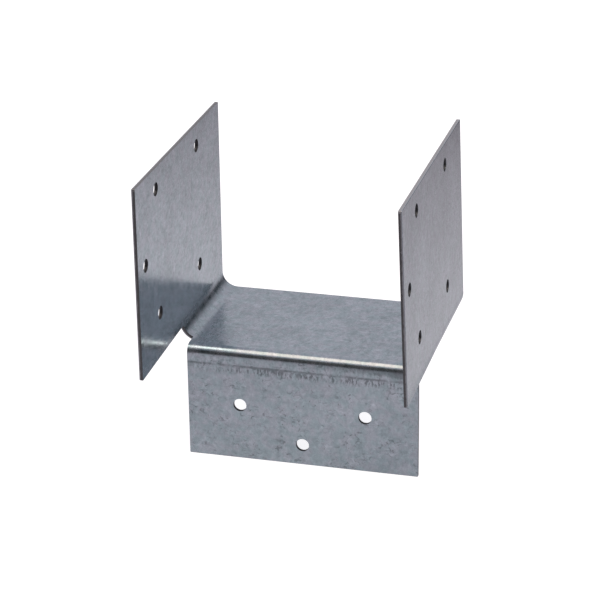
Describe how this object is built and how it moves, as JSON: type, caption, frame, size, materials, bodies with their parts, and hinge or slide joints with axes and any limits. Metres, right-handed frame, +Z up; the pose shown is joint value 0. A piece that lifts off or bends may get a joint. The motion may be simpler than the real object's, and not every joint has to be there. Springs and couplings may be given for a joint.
{
  "type": "u bracket",
  "caption": "Folded steel bracket that seats a timber beam between two nailed side flanges on top of a post, with a nailed flange folded down over the post's face.",
  "frame": {"origin": "on the seat's flat underside, halfway between the upright flanges and halfway from the post flange's outer face to the seat's rear edge", "axes": "+Z is up, along the upright flanges; +Y runs along the beam, from the folded-down post flange to the seat's rear edge; +X is to the right, across the seat"},
  "size_m": [0.0929, 0.094, 0.1141],
  "materials": {
    "galvanised_steel": "hot-dip galvanised sheet, satin, with a faint mottled spangle"
  },
  "bodies": {
    "root": {"u_bracket": "galvanised_steel"}
  },
  "joints": []
}
